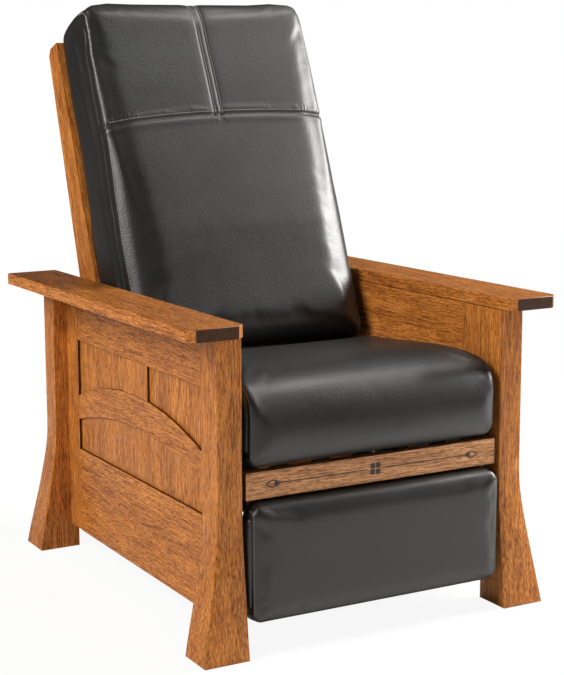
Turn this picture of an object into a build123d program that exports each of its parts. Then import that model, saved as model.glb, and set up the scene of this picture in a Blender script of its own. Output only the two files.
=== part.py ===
"""Mission reclining armchair: oak frame, leather cushions, steel recline and footrest linkage.

Millimetres, +Z up, floor at Z = 0, X across the chair, the sitter faces -Y.
A depth is measured rearward from the front of the arm boards.
"""
import os
from math import atan2, cos, degrees, hypot, radians, sin, sqrt

from build123d import *

os.makedirs("parts", exist_ok=True)

sides = {"left": -1, "right": 1}

# Arm boards and legs
arm_top = 610
arm_thick = 24
arm_inner = 286
arm_outer = 399
arm_length = 879
arm_corner = 15
arm_edge_round = 3
arm_under = arm_top - arm_thick
leg_inner = 283
leg_outer = 333
leg_front = 26
leg_depth = 52
arm_overhang = 43
rear_leg_back = arm_length - arm_overhang
foot_outer = 374.5
foot_spread = 26
rear_foot_spread = 34
flare_height = 290
flare_shares = ((0.03, 0.84), (0.16, 0.68), (0.54, 0.36))
flare_lean_share = 0.15
leg_tenon_width = 30
leg_tenon_depth = 28
leg_tenon_height = 12

# Side panel frames
frame_inner = leg_inner
frame_thick = 18
frame_outer = frame_inner + frame_thick
panel_inner = 289
panel_thick = 6
panel_outer = panel_inner + panel_thick
groove_depth = 8
front_stile_width = 70
rear_stile_width = 58
side_front = leg_front + leg_depth
side_back = rear_leg_back - leg_depth
top_rail_under = 476
mullion_width = 118
arch_top_end = 352
arch_top_crown = 407
arch_under_end = 300
arch_under_crown = 342
bottom_rail_top = 236
bottom_rail_under = 53
stile_tongue = 10
rail_tenon = 30
rail_tenon_shoulder = 12
field_front = side_front + front_stile_width
field_back = side_back - rear_stile_width
side_middle = (field_front + field_back) / 2

# Foot of the back posts, inside the rear legs
back_foot_inset = 301
back_foot_depth = arm_length - back_foot_inset

# Cross rails
cross_under = 60
cross_top = 150
cross_thick = 22
front_cross_depth = 340
rear_cross_set = 16
rear_cross_depth = side_back + rear_cross_set
cross_tenon = 10
cross_tenon_shoulder = 10

# Seat frame
seat_under = 287
seat_frame_top = 337
seat_rail_inner = 235
seat_rail_outer = 255
seat_rail_gap = 22
seat_rail_back = back_foot_depth - seat_rail_gap
front_rail_depth = 29
front_rail_thick = 20
front_rail_half = 274
front_rail_back = front_rail_depth + front_rail_thick
rear_rail_thick = 20
rear_rail_front = seat_rail_back - rear_rail_thick
plate_thick = 4
plate_inner = seat_rail_inner - plate_thick
layer_gap = 1
plate_edge = 19
plate_front_corners = ((80, 252), (92, 247), (150, 229))
plate_slope = 18
link_outer = plate_inner - layer_gap
link_inner = link_outer - plate_thick
long_outer = link_inner - layer_gap
long_inner = long_outer - plate_thick

# Inlay in the front rail
inlay_deep = 1.5
inlay_line = 1.6
inlay_square = 10
inlay_square_gap = 1.8
inlay_line_start = 17
inlay_line_end = 203
bud_length = 31
bud_half = 6.5
bud_dark_share = 0.4
bud_rim = 1.6

# Sinuous springs
wire_radius = 1.75
spring_height = 328
spring_spacing = 88
spring_rows = (-2, -1, 0, 1, 2)
spring_half = 24
spring_pitch = 24
spring_bend = 10
spring_end_gap = 8
clip_half = 15
clip_depth = 13
clip_height = 9

# Seat cushion
seat_half = 277
seat_cushion_front = 2
seat_cushion_inset = 12
seat_cushion_depth = seat_rail_back - seat_cushion_inset - seat_cushion_front
seat_cushion_height = 172

# Footrest linkage, as depths and heights on the side plane
swing_pivot = (95, 265)
guide_offset = (57, -20)
swing_length = 200
swing_rest_deg = -62.9
lift_arm = 30
footrest_pivot = (75, 235)
link_width = 18
pin_radius = 4
pin_clearance = 0.05
rivet_head_radius = 6.5
rivet_head_thick = 2
head_gap = 0.3
tube_radius = 10
tube_station = 60

# Footrest
board_front = 48
board_thick = 12
board_half = 262
board_under = 72
board_top = 283
pad_front = 3
pad_half = 280
pad_under = 53
pad_top = 286
bracket_flange = 25
bracket_thick = 3
bracket_under = 150
bracket_top = 250
bracket_screw_heights = (165, 235)
bracket_screw_length = 12

# Seat glides and tracks
track_inner = 264
track_under = 203
track_top = 233
track_wall = 2.5
track_front = 90
glide_depths = (200, back_foot_depth)
track_overrun = 47
track_back = glide_depths[1] + track_overrun
glide_height = 218
glide_half_length = 14
glide_half_height = 12
glide_inner = 266
glide_outer = 280
glide_axle_radius = 5
front_track_screws = (32, 145)
rear_track_screws = (-122, 30)
track_screw_depths = [glide_depths[0] + offset for offset in front_track_screws] + \
                     [glide_depths[1] + offset for offset in rear_track_screws]

# Back frame, in a leaning frame whose origin is the foot of the posts' front edge
back_tilt = 20.4
back_foot_height = 336
post_inner = 257
post_outer = 277
post_length = 822
post_foot_depth = 96
post_head_depth = 50
post_chamfer = 12
back_rail_thick = 20
back_lower_rail_under = 100
back_lower_rail_top = 165
back_top_rail_drop = 22
back_top_rail_width = 70
back_top_rail_top = post_length - back_top_rail_drop
back_top_rail_under = back_top_rail_top - back_top_rail_width
back_rail_tenon = 12
back_rail_shoulder = 8
slat_count = 5
slat_width = 46
slat_spacing = 96
slat_thick = 10
slat_tenon = 12
hinge_up = 30
hinge_behind = 48
hinge_radius = 6
hinge_shoulder_radius = 10
hinge_head_radius = 10
hinge_head_thick = 3
back_plate_inner = post_inner - plate_thick
back_plate_half = 20
back_plate_top = 94
back_screw_ups = (58, 84)

# Back cushion
back_half = 269
back_cushion_under = 85
back_cushion_rise = 49
back_cushion_length = post_length + back_cushion_rise - back_cushion_under
back_cushion_thick = 145
back_seam_share = 0.646
back_reach = 1.2

# Sewn channels
seam_width = 2.5
seam_depth = 2
side_seam_inset = 9
strip_half = 8
sew_slant = 45

# Screws
screw_radius = 2
screw_head_radius = 4.5
screw_head_thick = 2.2
screw_length = 14
plate_screw_inset = 76
plate_screw_depths = (120, 300, seat_rail_back - plate_screw_inset)

# Derived directions and places
tilt_sin, tilt_cos = sin(radians(back_tilt)), cos(radians(back_tilt))


def lean(behind, up):
    """Depth and height of a point in the leaning frame of the back."""
    return (back_foot_depth + up * tilt_sin + behind * tilt_cos,
            back_foot_height + up * tilt_cos - behind * tilt_sin)


def post_depth_at(up):
    """Depth of a back post, square to its front edge."""
    return post_foot_depth + (post_head_depth - post_foot_depth) * up / post_length


overall_depth = max(lean(post_depth_at(post_length - post_chamfer), post_length - post_chamfer)[0],
                    lean(post_head_depth - post_chamfer, post_length)[0])
front_y = -overall_depth / 2


def spot(depth, height):
    """A depth and a height as a point on the YZ plane."""
    return (front_y + depth, height)


def board(x_low, x_high, depth_low, depth_high, z_low, z_high, mode=Mode.ADD):
    """A square-edged block between six limits."""
    with BuildSketch(Plane.XY.offset(z_low)) as outline:
        with Locations(((x_low + x_high) / 2, front_y + (depth_low + depth_high) / 2)):
            Rectangle(abs(x_high - x_low), depth_high - depth_low)
    extrude(outline.sketch, amount=z_high - z_low, mode=mode)


def rods(places, radius, inner, outer, mode=Mode.ADD):
    """Round bars along X on both sides of the chair, at (depth, height) places."""
    for side in sides.values():
        with BuildSketch(Plane.YZ.offset(side * inner)) as outline:
            with Locations(*[spot(*place) for place in places]):
                Circle(radius)
        extrude(outline.sketch, amount=side * (outer - inner), mode=mode)


def rivets(places, inner, outer, heads):
    """Rivets through the stacked link layers; heads lists the faces that carry a head."""
    rods(places, pin_radius, inner, outer)
    if "inner" in heads:
        rods(places, rivet_head_radius, inner - rivet_head_thick, inner)
    if "outer" in heads:
        rods(places, rivet_head_radius, outer, outer + rivet_head_thick)


def bars(runs, holes, inner, outer, hole_radius, fixed_holes=()):
    """Flat link bars between pairs of pivots on both sides, drilled at the pivots."""
    for side in sides.values():
        with BuildSketch(Plane.YZ.offset(side * inner)) as outline:
            for start, end in runs:
                y0, z0 = spot(*start)
                y1, z1 = spot(*end)
                with Locations(((y0 + y1) / 2, (z0 + z1) / 2)):
                    SlotCenterToCenter(hypot(y1 - y0, z1 - z0), link_width,
                                       rotation=degrees(atan2(z1 - z0, y1 - y0)))
            with Locations(*[spot(*hole) for hole in holes]):
                Circle(hole_radius, mode=Mode.SUBTRACT)
            if fixed_holes:
                with Locations(*[spot(*hole) for hole in fixed_holes]):
                    Circle(pin_radius, mode=Mode.SUBTRACT)
        extrude(outline.sketch, amount=side * (outer - inner))


def moved(point, offset):
    return (point[0] + offset[0], point[1] + offset[1])


def polar(point, length, angle):
    return (point[0] + length * cos(radians(angle)), point[1] + length * sin(radians(angle)))


def sew(cushion, bands, shift):
    """Draws the cover in along thin bands: what lies outside the cushion moved by shift goes."""
    with BuildPart() as grooves:
        add(bands)
        add(Pos(*shift) * cushion.part, mode=Mode.SUBTRACT)
    with BuildPart() as sewn:
        add(cushion.part)
        add(grooves.part, mode=Mode.SUBTRACT)
    return sewn


def side_bands(half, height):
    """Thin upright bands across the whole chair, where the side panels are sewn on."""
    with BuildPart() as bands:
        with BuildSketch():
            with Locations(*[(side * (half - side_seam_inset), 0) for side in sides.values()]):
                Rectangle(seam_width, overall_depth)
        extrude(amount=height)
    return bands.part


guide_pivot = moved(swing_pivot, guide_offset)
swing_tip = polar(swing_pivot, swing_length, swing_rest_deg)
lift_pivot = polar(swing_pivot, swing_length + lift_arm, swing_rest_deg)
guide_tip = moved(swing_tip, guide_offset)
tilt_pivot = polar(footrest_pivot, lift_arm, swing_rest_deg)
tube_place = polar(swing_pivot, tube_station, swing_rest_deg)
hinge_place = lean(hinge_behind, hinge_up)
loose = pin_radius + pin_clearance

back_front_plane = Plane(origin=(0, *spot(back_foot_depth, back_foot_height)),
                         x_dir=(1, 0, 0), z_dir=(0, -tilt_cos, tilt_sin))
back_side_plane = Plane(origin=(0, *spot(back_foot_depth, back_foot_height)),
                        x_dir=(0, tilt_cos, -tilt_sin), z_dir=(1, 0, 0))
back_section_plane = Plane(origin=(0, *spot(back_foot_depth, back_foot_height)),
                           x_dir=(1, 0, 0), z_dir=(0, tilt_sin, tilt_cos))

parts = {}

# Legs: straight inner and panel-side faces, outer and end faces flared to the foot


def leg(side, end):
    """One leg; side is -1 or 1 across, end is 'front' or 'rear'."""
    if end == "front":
        face, toward, spread = leg_front, 1, foot_spread
    else:
        face, toward, spread = rear_leg_back, -1, rear_foot_spread
    with BuildPart() as post:
        with BuildSketch(Plane.XZ.offset(-front_y)):
            with BuildLine():
                Polyline((side * leg_inner, 0), (side * leg_inner, arm_under),
                         (side * leg_outer, arm_under), (side * leg_outer, flare_height))
                Spline((side * leg_outer, flare_height),
                       *[(side * (leg_outer + (foot_outer - leg_outer) * out), flare_height * up)
                         for out, up in flare_shares],
                       (side * foot_outer, 0), tangents=((0, -1), (side * flare_lean_share, -1)))
                Line((side * foot_outer, 0), (side * leg_inner, 0))
            make_face()
        extrude(amount=-arm_length)
        with BuildSketch(Plane.YZ):
            with BuildLine():
                foot_face = face - toward * spread
                panel_face = face + toward * leg_depth
                Polyline(spot(panel_face, 0), spot(panel_face, arm_under),
                         spot(face, arm_under), spot(face, flare_height))
                Spline(spot(face, flare_height),
                       *[spot(face - toward * spread * out, flare_height * up)
                         for out, up in flare_shares],
                       spot(foot_face, 0), tangents=((0, -1), (-toward * flare_lean_share, -1)))
                Line(spot(foot_face, 0), spot(panel_face, 0))
            make_face()
        extrude(amount=arm_outer, both=True, mode=Mode.INTERSECT)
        centre = (leg_inner + leg_outer) / 2
        middle = face + toward * leg_depth / 2
        board(side * centre - leg_tenon_width / 2, side * centre + leg_tenon_width / 2,
              middle - leg_tenon_depth / 2, middle + leg_tenon_depth / 2,
              arm_under, arm_under + leg_tenon_height)
        edge = sorted((panel_face, panel_face - toward * stile_tongue))
        board(side * panel_inner, side * panel_outer, *edge,
              bottom_rail_under, arm_under, mode=Mode.SUBTRACT)
        if end == "rear":
            board(side * leg_inner, side * (leg_inner + cross_tenon),
                  rear_cross_depth, rear_cross_depth + cross_thick,
                  cross_under + cross_tenon_shoulder, cross_top - cross_tenon_shoulder,
                  mode=Mode.SUBTRACT)
    return post


for side_name, side in sides.items():
    for end in ("front", "rear"):
        parts[f"{end}_leg_{side_name}"] = leg(side, end)

# Arm boards, front corners clipped, mortised for the leg tenons
for side_name, side in sides.items():
    with BuildPart() as arm:
        with BuildSketch(Plane.XY.offset(arm_under)):
            with BuildLine():
                Polyline((side * arm_inner, front_y + arm_length), (side * arm_outer, front_y + arm_length),
                         (side * arm_outer, front_y + arm_corner),
                         (side * (arm_outer - arm_corner), front_y),
                         (side * (arm_inner + arm_corner), front_y),
                         (side * arm_inner, front_y + arm_corner), close=True)
            make_face()
        extrude(amount=arm_thick)
        fillet(arm.faces().sort_by(Axis.Z)[-1].edges(), arm_edge_round)
        for end in ("front", "rear"):
            add(parts[f"{end}_leg_{side_name}"].part, mode=Mode.SUBTRACT)
    parts[f"arm_{side_name}"] = arm

# Screws that hold the seat tracks to the bottom rails
track_screw_places = [(depth, glide_height) for depth in track_screw_depths]
with BuildPart() as track_screws:
    rods(track_screw_places, screw_radius, leg_inner - track_wall, leg_inner + screw_length)
    rods(track_screw_places, screw_head_radius, leg_inner - track_wall - track_wall / 2,
         leg_inner - track_wall)
parts["track_screws"] = track_screws

# Side panel frames: panels first, then the grooved members around them


def arch(end_height, crown_height, reach=0):
    """Arched edge over the panel field, raised or lowered by reach."""
    return (spot(field_front - groove_depth, end_height + reach),
            spot(side_middle, crown_height + reach),
            spot(field_back + groove_depth, end_height + reach))


def panel_band(side, low_edge, high_edge, depth_low, depth_high, inner, outer):
    """A sheet between two arched or straight edges, trimmed to a depth range."""
    with BuildSketch(Plane.YZ.offset(side * inner)) as outline:
        with BuildLine():
            if low_edge[0][1] == low_edge[1][1]:
                Line(low_edge[0], low_edge[2])
            else:
                ThreePointArc(*low_edge)
            Line(low_edge[2], high_edge[2])
            if high_edge[0][1] == high_edge[1][1]:
                Line(high_edge[2], high_edge[0])
            else:
                ThreePointArc(*reversed(high_edge))
            Line(high_edge[0], low_edge[0])
        make_face()
        with Locations(spot((depth_low + depth_high) / 2, arm_under / 2)):
            Rectangle(depth_high - depth_low, arm_under, mode=Mode.INTERSECT)
    extrude(outline.sketch, amount=side * (outer - inner))


for side_name, side in sides.items():
    with BuildPart() as panels:
        upper_low = arch(arch_top_end, arch_top_crown, -groove_depth)
        upper_high = arch(top_rail_under, top_rail_under, groove_depth)
        panel_band(side, upper_low, upper_high, field_front - groove_depth,
                   side_middle - mullion_width / 2 + groove_depth, panel_inner, panel_outer)
        panel_band(side, upper_low, upper_high, side_middle + mullion_width / 2 - groove_depth,
                   field_back + groove_depth, panel_inner, panel_outer)
        panel_band(side, arch(bottom_rail_top, bottom_rail_top, -groove_depth),
                   arch(arch_under_end, arch_under_crown, groove_depth),
                   field_front - groove_depth, field_back + groove_depth, panel_inner, panel_outer)
    parts[f"side_panels_{side_name}"] = panels

    with BuildPart() as arch_rail:
        panel_band(side, arch(arch_under_end, arch_under_crown), arch(arch_top_end, arch_top_crown),
                   field_front, field_back, frame_inner, frame_outer)
        for low, high in ((field_front - rail_tenon, field_front), (field_back, field_back + rail_tenon)):
            board(side * panel_inner, side * panel_outer, low, high,
                  arch_under_end + rail_tenon_shoulder, arch_top_end - rail_tenon_shoulder)
        add(panels.part, mode=Mode.SUBTRACT)
    parts[f"side_arch_rail_{side_name}"] = arch_rail

    for rail_name, under, top in (("top", top_rail_under, arm_under),
                                  ("bottom", bottom_rail_under, bottom_rail_top)):
        with BuildPart() as rail:
            board(side * frame_inner, side * frame_outer, field_front, field_back, under, top)
            board(side * panel_inner, side * panel_outer, field_front - rail_tenon,
                  field_back + rail_tenon, under + rail_tenon_shoulder, top - rail_tenon_shoulder)
            add(panels.part, mode=Mode.SUBTRACT)
            if rail_name == "bottom":
                board(side * leg_inner, side * (leg_inner + cross_tenon),
                      front_cross_depth, front_cross_depth + cross_thick,
                      cross_under + cross_tenon_shoulder, cross_top - cross_tenon_shoulder,
                      mode=Mode.SUBTRACT)
                add(track_screws.part, mode=Mode.SUBTRACT)
        parts[f"side_{rail_name}_rail_{side_name}"] = rail

    with BuildPart() as mullion:
        panel_band(side, arch(arch_top_end, arch_top_crown), arch(top_rail_under, top_rail_under),
                   side_middle - mullion_width / 2, side_middle + mullion_width / 2,
                   frame_inner, frame_outer)
        add(panels.part, mode=Mode.SUBTRACT)
    parts[f"side_mullion_{side_name}"] = mullion

    for end, low, high, edge in (("front", side_front, field_front, side_front - stile_tongue),
                                 ("rear", field_back, side_back, side_back)):
        with BuildPart() as stile:
            board(side * frame_inner, side * frame_outer, low, high, bottom_rail_under, arm_under)
            board(side * panel_inner, side * panel_outer, edge, edge + stile_tongue,
                  bottom_rail_under, arm_under)
            for neighbour in ("side_panels", "side_arch_rail", "side_top_rail", "side_bottom_rail"):
                add(parts[f"{neighbour}_{side_name}"].part, mode=Mode.SUBTRACT)
        parts[f"side_{end}_stile_{side_name}"] = stile

# Cross rails between the two sides, tenoned
for name, depth in (("front_cross_rail", front_cross_depth), ("rear_cross_rail", rear_cross_depth)):
    with BuildPart() as cross_rail:
        board(-leg_inner, leg_inner, depth, depth + cross_thick, cross_under, cross_top)
        board(-leg_inner - cross_tenon, leg_inner + cross_tenon, depth, depth + cross_thick,
              cross_under + cross_tenon_shoulder, cross_top - cross_tenon_shoulder)
    parts[name] = cross_rail

# Seat tracks: steel channels open towards the seat, screwed to the bottom rails
with BuildPart() as seat_tracks:
    for side in sides.values():
        board(side * track_inner, side * leg_inner, track_front, track_back, track_under, track_top)
        board(side * track_inner, side * (leg_inner - track_wall), track_front, track_back,
              track_under + track_wall, track_top - track_wall, mode=Mode.SUBTRACT)
    add(track_screws.part, mode=Mode.SUBTRACT)
parts["seat_tracks"] = seat_tracks

# Seat frame


def bud_outline(side, rim):
    """Almond outline at the end of the inlaid line; rim draws its hollow outer half."""
    root, tip = side * (inlay_line_end + rim), side * (inlay_line_end + bud_length - 2 * rim)
    waist = side * (inlay_line_end + bud_length * bud_dark_share)
    half = bud_half - rim
    if rim:
        Spline((waist, inlay_middle + half), (tip, inlay_middle), tangents=((side, 0), (side, -half / bud_half)))
        Spline((tip, inlay_middle), (waist, inlay_middle - half), tangents=((-side, -half / bud_half), (-side, 0)))
        Line((waist, inlay_middle - half), (waist, inlay_middle + half))
    else:
        Spline((root, inlay_middle), (waist, inlay_middle + half), (tip, inlay_middle),
               tangents=((side, half / bud_half), (side, -half / bud_half)))
        Spline((tip, inlay_middle), (waist, inlay_middle - half), (root, inlay_middle),
               tangents=((-side, -half / bud_half), (-side, half / bud_half)))


inlay_middle = (seat_under + seat_frame_top) / 2
with BuildPart() as front_rail_inlay:
    inlay_plane = Plane.XZ.offset(-(front_y + front_rail_depth))
    with BuildSketch(inlay_plane):
        step = (inlay_square + inlay_square_gap) / 2
        with Locations(*[(i * step, inlay_middle + j * step) for i in (-1, 1) for j in (-1, 1)]):
            Rectangle(inlay_square, inlay_square)
        for side in sides.values():
            with Locations((side * (inlay_line_start + inlay_line_end + bud_rim) / 2, inlay_middle)):
                Rectangle(inlay_line_end + bud_rim - inlay_line_start, inlay_line)
            with BuildLine():
                bud_outline(side, 0)
            make_face()
            with BuildLine():
                bud_outline(side, bud_rim)
            make_face(mode=Mode.SUBTRACT)
    extrude(amount=-inlay_deep)
parts["front_rail_inlay"] = front_rail_inlay

with BuildPart() as front_rail:
    board(-front_rail_half, front_rail_half, front_rail_depth, front_rail_back,
          seat_under, seat_frame_top)
    add(front_rail_inlay.part, mode=Mode.SUBTRACT)
parts["front_rail"] = front_rail

plate_screw_places = [(depth, (seat_under + seat_frame_top) / 2) for depth in plate_screw_depths]
with BuildPart() as plate_screws:
    rods(plate_screw_places, screw_radius, plate_inner, seat_rail_inner + screw_length)
    rods(plate_screw_places, screw_head_radius, plate_inner - screw_head_thick, plate_inner)
parts["plate_screws"] = plate_screws

for side_name, side in sides.items():
    with BuildPart() as seat_side_rail:
        board(side * seat_rail_inner, side * seat_rail_outer, front_rail_back, seat_rail_back,
              seat_under, seat_frame_top)
        add(plate_screws.part, mode=Mode.SUBTRACT)
    parts[f"seat_side_rail_{side_name}"] = seat_side_rail

with BuildPart() as seat_rear_rail:
    board(-plate_inner, plate_inner, rear_rail_front, seat_rail_back, seat_under, seat_frame_top)
parts["seat_rear_rail"] = seat_rear_rail

# Springs: zigzag wires from the front rail to the rear rail, held by clips
with BuildPart() as seat_springs:
    first, last = front_rail_back + spring_end_gap, rear_rail_front - spring_end_gap
    turns = int((last - first) // spring_pitch)
    pitch = (last - first) / turns
    for row in spring_rows:
        centre = row * spring_spacing
        corners = []
        for turn in range(turns + 1):
            swing = spring_half if turn % 2 else -spring_half
            y = front_y + first + turn * pitch
            corners += [(centre - swing, y, spring_height), (centre + swing, y, spring_height)]
        with BuildLine() as wire_path:
            FilletPolyline(*corners, radius=spring_bend)
        with BuildSketch(Plane(origin=corners[0], z_dir=(corners[1][0] - corners[0][0], 0, 0))):
            Circle(wire_radius)
        sweep(path=wire_path.wires()[0])
parts["seat_springs"] = seat_springs

with BuildPart() as spring_clips:
    for row in spring_rows:
        for low, high in ((front_rail_back, front_rail_back + clip_depth),
                          (rear_rail_front - clip_depth, rear_rail_front)):
            board(row * spring_spacing - clip_half / 2, row * spring_spacing + clip_half / 2, low, high,
                  spring_height - clip_height / 2, spring_height + clip_height / 2)
    add(seat_springs.part, mode=Mode.SUBTRACT)
parts["spring_clips"] = spring_clips

# Seat cushion: side profile, plan and front outline as shares of its size
seat_profile_shares = ((0.13, 0.0), (0.075, 0.018), (0.032, 0.085), (0.008, 0.21), (0.0, 0.36), (0.008, 0.55),
                       (0.03, 0.72), (0.065, 0.85), (0.115, 0.935), (0.18, 0.98), (0.27, 0.99),
                       (0.42, 0.955), (0.6, 0.9), (0.74, 0.845), (0.8, 0.79), (0.86, 0.71), (0.9, 0.665),
                       (0.95, 0.61), (0.985, 0.5), (1.0, 0.28), (0.985, 0.05), (0.95, 0.0))
seat_plan_shares = ((1.03, 0.97), (1.03, 0.4), (0.998, 0.1), (0.965, 0.03), (0.9, 0.01), (0.5, -0.012),
                    (0.0, -0.02))
seat_front_shares = ((0.86, -0.05), (0.935, 0.025), (0.98, 0.12), (1.0, 0.3), (1.0, 0.7), (0.99, 0.84),
                     (0.965, 0.92), (0.9, 0.965), (0.75, 1.0), (0.45, 1.04), (0.0, 1.06))


def mirrored(shares):
    """Half an outline given from the edge to the centre line, continued on the other side."""
    return [(-across, along) for across, along in shares] + \
           [(across, along) for across, along in reversed(shares[:-1])]


with BuildPart() as seat_cushion:
    seat_profile = [spot(seat_cushion_front + seat_cushion_depth * a, seat_frame_top + seat_cushion_height * b)
                    for a, b in seat_profile_shares]
    with BuildSketch(Plane.YZ) as seat_side:
        with BuildLine():
            Spline(*seat_profile)
            Line(seat_profile[-1], seat_profile[0])
        make_face()
    extrude(amount=arm_inner, both=True)
    seat_plan = [(seat_half * a, front_y + seat_cushion_front + seat_cushion_depth * b)
                 for a, b in mirrored(seat_plan_shares)]
    seat_rear = front_y + seat_cushion_front + seat_cushion_depth
    with BuildSketch(Plane.XY.offset(seat_frame_top)):
        with BuildLine():
            Spline(*seat_plan)
            Polyline(seat_plan[-1], (seat_plan[-1][0], seat_rear), (seat_plan[0][0], seat_rear),
                     seat_plan[0])
        make_face()
    extrude(amount=seat_cushion_height, mode=Mode.INTERSECT)
    seat_front = [(seat_half * a, seat_frame_top + seat_cushion_height * b)
                  for a, b in mirrored(seat_front_shares)]
    with BuildSketch(Plane.XZ):
        with BuildLine():
            Spline(*seat_front)
            Line(seat_front[-1], seat_front[0])
        make_face()
    extrude(amount=overall_depth, both=True, mode=Mode.INTERSECT)
parts["seat_cushion"] = sew(seat_cushion, side_bands(seat_half, arm_top), (0, seam_depth, -seam_depth))

# Steel side plates under the seat: links at the front, glides, back hinge at the rear
glide_under = glide_height - glide_half_height
plate_outline = ((plate_front_corners[0][0], seat_frame_top), *plate_front_corners,
                 (glide_depths[0] - glide_half_length, glide_under),
                 (glide_depths[0] + glide_half_length, glide_under),
                 (glide_depths[0] + glide_half_length + plate_slope, seat_under),
                 (glide_depths[1] - glide_half_length - plate_slope, seat_under),
                 (glide_depths[1] - glide_half_length, glide_under),
                 (glide_depths[1] + glide_half_length, glide_under),
                 (hinge_place[0] + plate_edge, hinge_place[1] - plate_edge),
                 (hinge_place[0] + plate_edge, hinge_place[1] + plate_edge),
                 (hinge_place[0] - plate_edge, hinge_place[1] + plate_edge),
                 (seat_rail_back, seat_frame_top))
with BuildPart() as seat_plates:
    for side in sides.values():
        with BuildSketch(Plane.YZ.offset(side * plate_inner)):
            with BuildLine():
                Polyline(*[spot(*corner) for corner in plate_outline], close=True)
            make_face()
        extrude(amount=side * plate_thick)
    rods([swing_pivot, guide_pivot], pin_radius, plate_inner, seat_rail_inner, mode=Mode.SUBTRACT)
    rods([(depth, glide_height) for depth in glide_depths], glide_axle_radius,
         plate_inner, seat_rail_inner, mode=Mode.SUBTRACT)
    rods([hinge_place], hinge_radius, plate_inner, seat_rail_inner, mode=Mode.SUBTRACT)
    add(plate_screws.part, mode=Mode.SUBTRACT)
parts["seat_plates"] = seat_plates

with BuildPart() as seat_rivets:
    rivets([swing_pivot, guide_pivot], link_inner - head_gap, seat_rail_inner, ("inner", "outer"))
parts["seat_rivets"] = seat_rivets

with BuildPart() as glide_axles:
    rods([(depth, glide_height) for depth in glide_depths], glide_axle_radius, plate_inner, glide_outer)
parts["glide_axles"] = glide_axles

with BuildPart() as glide_shoes:
    for side in sides.values():
        for depth in glide_depths:
            board(side * glide_inner, side * glide_outer, depth - glide_half_length,
                  depth + glide_half_length, glide_height - glide_half_height,
                  glide_height + glide_half_height)
    rods([(depth, glide_height) for depth in glide_depths], glide_axle_radius,
         glide_inner, glide_outer, mode=Mode.SUBTRACT)
parts["glide_shoes"] = glide_shoes

with BuildPart() as back_hinge_pins:
    rods([hinge_place], hinge_radius, plate_inner, post_inner - layer_gap / 2)
    rods([hinge_place], hinge_shoulder_radius, seat_rail_inner, back_plate_inner - layer_gap / 2)
    rods([hinge_place], hinge_head_radius, plate_inner - hinge_head_thick, plate_inner)
parts["back_hinge_pins"] = back_hinge_pins

# Footrest linkage
with BuildPart() as swing_links:
    bars([(swing_pivot, lift_pivot)], [swing_pivot], link_inner, link_outer, loose,
         [swing_tip, lift_pivot])
parts["swing_links"] = swing_links

with BuildPart() as cross_tube:
    with BuildSketch(Plane.YZ.offset(-link_inner)):
        with Locations(spot(*tube_place)):
            Circle(tube_radius)
    extrude(amount=2 * link_inner)
parts["cross_tube"] = cross_tube

with BuildPart() as swing_rivets:
    rivets([swing_tip], long_inner, link_outer, ("inner",))
    rivets([lift_pivot], link_inner, seat_rail_inner, ("outer",))
parts["swing_rivets"] = swing_rivets

with BuildPart() as guide_links:
    bars([(guide_pivot, guide_tip)], [guide_pivot], link_inner, link_outer, loose, [guide_tip])
parts["guide_links"] = guide_links

with BuildPart() as guide_rivets:
    rivets([guide_tip], long_inner, link_outer, ("inner",))
parts["guide_rivets"] = guide_rivets

with BuildPart() as long_links:
    bars([(swing_tip, guide_tip), (swing_tip, footrest_pivot)], [swing_tip, guide_tip],
         long_inner, long_outer, loose, [footrest_pivot])
parts["long_links"] = long_links

with BuildPart() as long_rivets:
    rivets([footrest_pivot], long_inner, link_outer, ("inner",))
parts["long_rivets"] = long_rivets

with BuildPart() as lift_links:
    bars([(lift_pivot, tilt_pivot)], [lift_pivot, tilt_pivot], plate_inner, seat_rail_inner, loose)
parts["lift_links"] = lift_links

# Footrest: brackets, board and leather pad
board_back = board_front + board_thick
bracket_screw_places = [(link_outer + bracket_flange / 2, height) for height in bracket_screw_heights]
with BuildPart() as footrest_screws:
    with BuildSketch(Plane.XZ.offset(-(front_y + board_back + bracket_thick))):
        with Locations(*[(side * x, z) for side in sides.values() for x, z in bracket_screw_places]):
            Circle(screw_head_radius)
    extrude(amount=-screw_head_thick)
    with BuildSketch(Plane.XZ.offset(-(front_y + board_back + bracket_thick))):
        with Locations(*[(side * x, z) for side in sides.values() for x, z in bracket_screw_places]):
            Circle(screw_radius)
    extrude(amount=bracket_screw_length)
parts["footrest_screws"] = footrest_screws

with BuildPart() as footrest_brackets:
    ear = link_width / 2
    ear_outline = ((board_back, bracket_top), (footrest_pivot[0], footrest_pivot[1] + ear),
                   (footrest_pivot[0] + ear, footrest_pivot[1]), (tilt_pivot[0] + ear, tilt_pivot[1]),
                   (tilt_pivot[0], tilt_pivot[1] - ear), (board_back, bracket_under))
    for side in sides.values():
        with BuildSketch(Plane.YZ.offset(side * link_inner)):
            with BuildLine():
                Polyline(*[spot(*corner) for corner in ear_outline], close=True)
            make_face()
        extrude(amount=side * plate_thick)
        board(side * link_inner, side * (link_outer + bracket_flange), board_back,
              board_back + bracket_thick, bracket_under, bracket_top)
    rods([footrest_pivot], loose, link_inner, link_outer, mode=Mode.SUBTRACT)
    rods([tilt_pivot], pin_radius, link_inner, link_outer, mode=Mode.SUBTRACT)
    add(footrest_screws.part, mode=Mode.SUBTRACT)
parts["footrest_brackets"] = footrest_brackets

with BuildPart() as tilt_rivets:
    rivets([tilt_pivot], link_inner, seat_rail_inner, ("outer",))
parts["tilt_rivets"] = tilt_rivets

with BuildPart() as footrest_board:
    board(-board_half, board_half, board_front, board_back, board_under, board_top)
    add(footrest_screws.part, mode=Mode.SUBTRACT)
parts["footrest_board"] = footrest_board

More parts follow.
